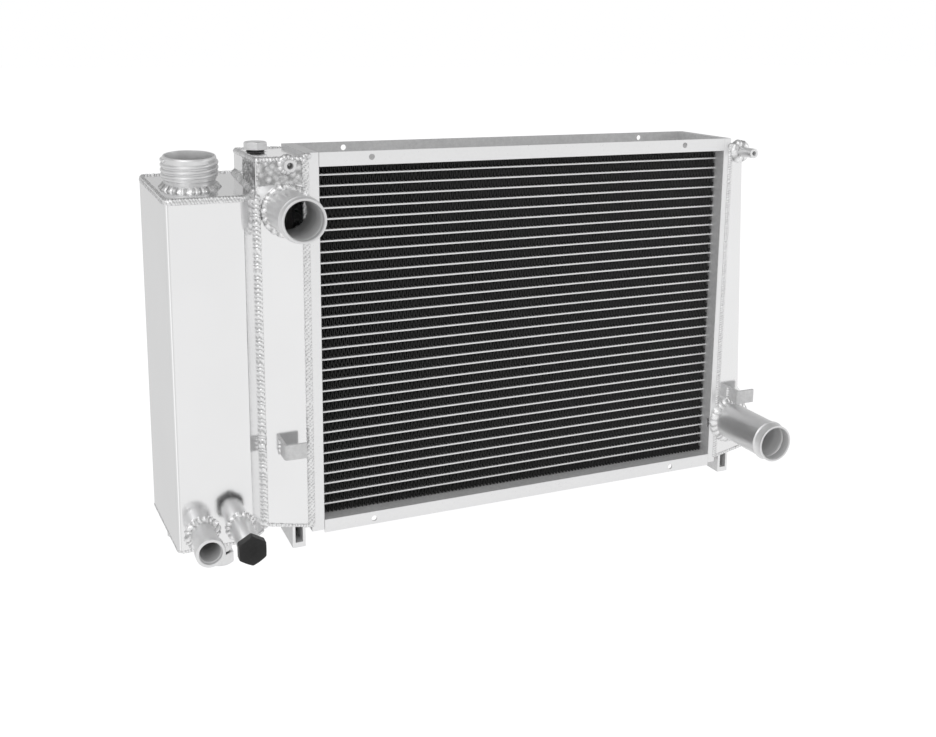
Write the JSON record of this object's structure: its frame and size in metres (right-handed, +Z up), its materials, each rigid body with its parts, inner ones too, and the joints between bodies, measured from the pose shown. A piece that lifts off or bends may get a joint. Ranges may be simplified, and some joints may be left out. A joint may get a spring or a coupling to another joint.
{
  "type": "car radiator",
  "caption": "Welded aluminium crossflow car radiator with finned core, side expansion tank, threaded filler neck, two hose necks, blanked sensor port, drain and bleed screws.",
  "frame": {"origin": "centre of the four front flange holes, on the front plane of the channel flanges", "axes": "+X along the core from the expansion tank towards the outlet tank, +Y from the front to the rear, +Z up"},
  "size_m": [0.6195, 0.1684, 0.369],
  "materials": {
    "sheet_aluminium": "bright rolled sheet, faintly brushed",
    "tube_aluminium": "satin, bright edges",
    "machined_aluminium": "turned, fine concentric marks",
    "weld_aluminium": "rippled weld, satin",
    "fin_black": "matt black",
    "plug_black": "black anodised, satin",
    "seal_rubber": "smooth black rubber"
  },
  "bodies": {
    "radiator": {"bleed_bung": "machined_aluminium", "bleed_nipple": "machined_aluminium", "bottom_channel": "sheet_aluminium", "bracket_welds": "weld_aluminium", "cap_welds": "weld_aluminium", "core_fins": "fin_black", "core_tubes": "tube_aluminium", "drain_bung": "machined_aluminium", "expansion_bottom": "sheet_aluminium", "expansion_bottom_weld": "weld_aluminium", "expansion_outlet": "machined_aluminium", "expansion_seam_weld": "weld_aluminium", "expansion_shell": "sheet_aluminium", "expansion_top": "sheet_aluminium", "expansion_top_weld": "weld_aluminium", "filler_neck": "machined_aluminium", "inlet_neck": "machined_aluminium", "left_end_tank": "sheet_aluminium", "left_foot": "sheet_aluminium", "left_header": "sheet_aluminium", "left_header_weld": "weld_aluminium", "left_tab": "sheet_aluminium", "left_tank_bottom": "sheet_aluminium", "left_tank_top": "sheet_aluminium", "locating_peg": "machined_aluminium", "neck_welds": "weld_aluminium", "nipple_welds": "weld_aluminium", "outlet_neck": "machined_aluminium", "right_end_tank": "sheet_aluminium", "right_foot": "sheet_aluminium", "right_header": "sheet_aluminium", "right_header_weld": "weld_aluminium", "right_tab": "sheet_aluminium", "right_tank_bottom": "sheet_aluminium", "right_tank_top": "sheet_aluminium", "sensor_port": "machined_aluminium", "top_channel": "sheet_aluminium", "vent_nipple": "machined_aluminium"},
    "bleed_seal_body": {"bleed_seal": "seal_rubber"},
    "bleed_screw_body": {"bleed_screw": "machined_aluminium"},
    "sensor_seal_body": {"sensor_seal": "seal_rubber"},
    "sensor_screw_body": {"sensor_plug": "plug_black"},
    "drain_seal_body": {"drain_seal": "seal_rubber"},
    "drain_screw_body": {"drain_plug": "machined_aluminium"}
  },
  "joints": [
    {"name": "bleed_travel", "type": "slide", "parent": "radiator", "child": "bleed_seal_body", "axis": [0, 0, 1], "range_m": [0, 0.0105]},
    {"name": "bleed_turn", "type": "hinge", "parent": "bleed_seal_body", "child": "bleed_screw_body", "pos_m": [-0.2565, 0.055, 0.173], "axis": [0, 0, 1], "range_deg": [0, 2520]},
    {"name": "sensor_travel", "type": "slide", "parent": "radiator", "child": "sensor_seal_body", "axis": [0, -1, 0], "range_m": [0, 0.015]},
    {"name": "sensor_turn", "type": "hinge", "parent": "sensor_seal_body", "child": "sensor_screw_body", "pos_m": [-0.2935, -0.055, -0.1495], "axis": [0, -1, 0], "range_deg": [0, 3600]},
    {"name": "drain_travel", "type": "slide", "parent": "radiator", "child": "drain_seal_body", "axis": [0, 0, -1], "range_m": [0, 0.0135]},
    {"name": "drain_turn", "type": "hinge", "parent": "drain_seal_body", "child": "drain_screw_body", "pos_m": [-0.309, -0.002, -0.17291], "axis": [0, 0, -1], "range_deg": [0, 3240]}
  ],
  "couplings": [
    {"joint": "bleed_turn", "follows": "bleed_travel", "rad_per_m": 4188.8},
    {"joint": "sensor_turn", "follows": "sensor_travel", "rad_per_m": 4188.8},
    {"joint": "drain_turn", "follows": "drain_travel", "rad_per_m": 4188.8}
  ]
}
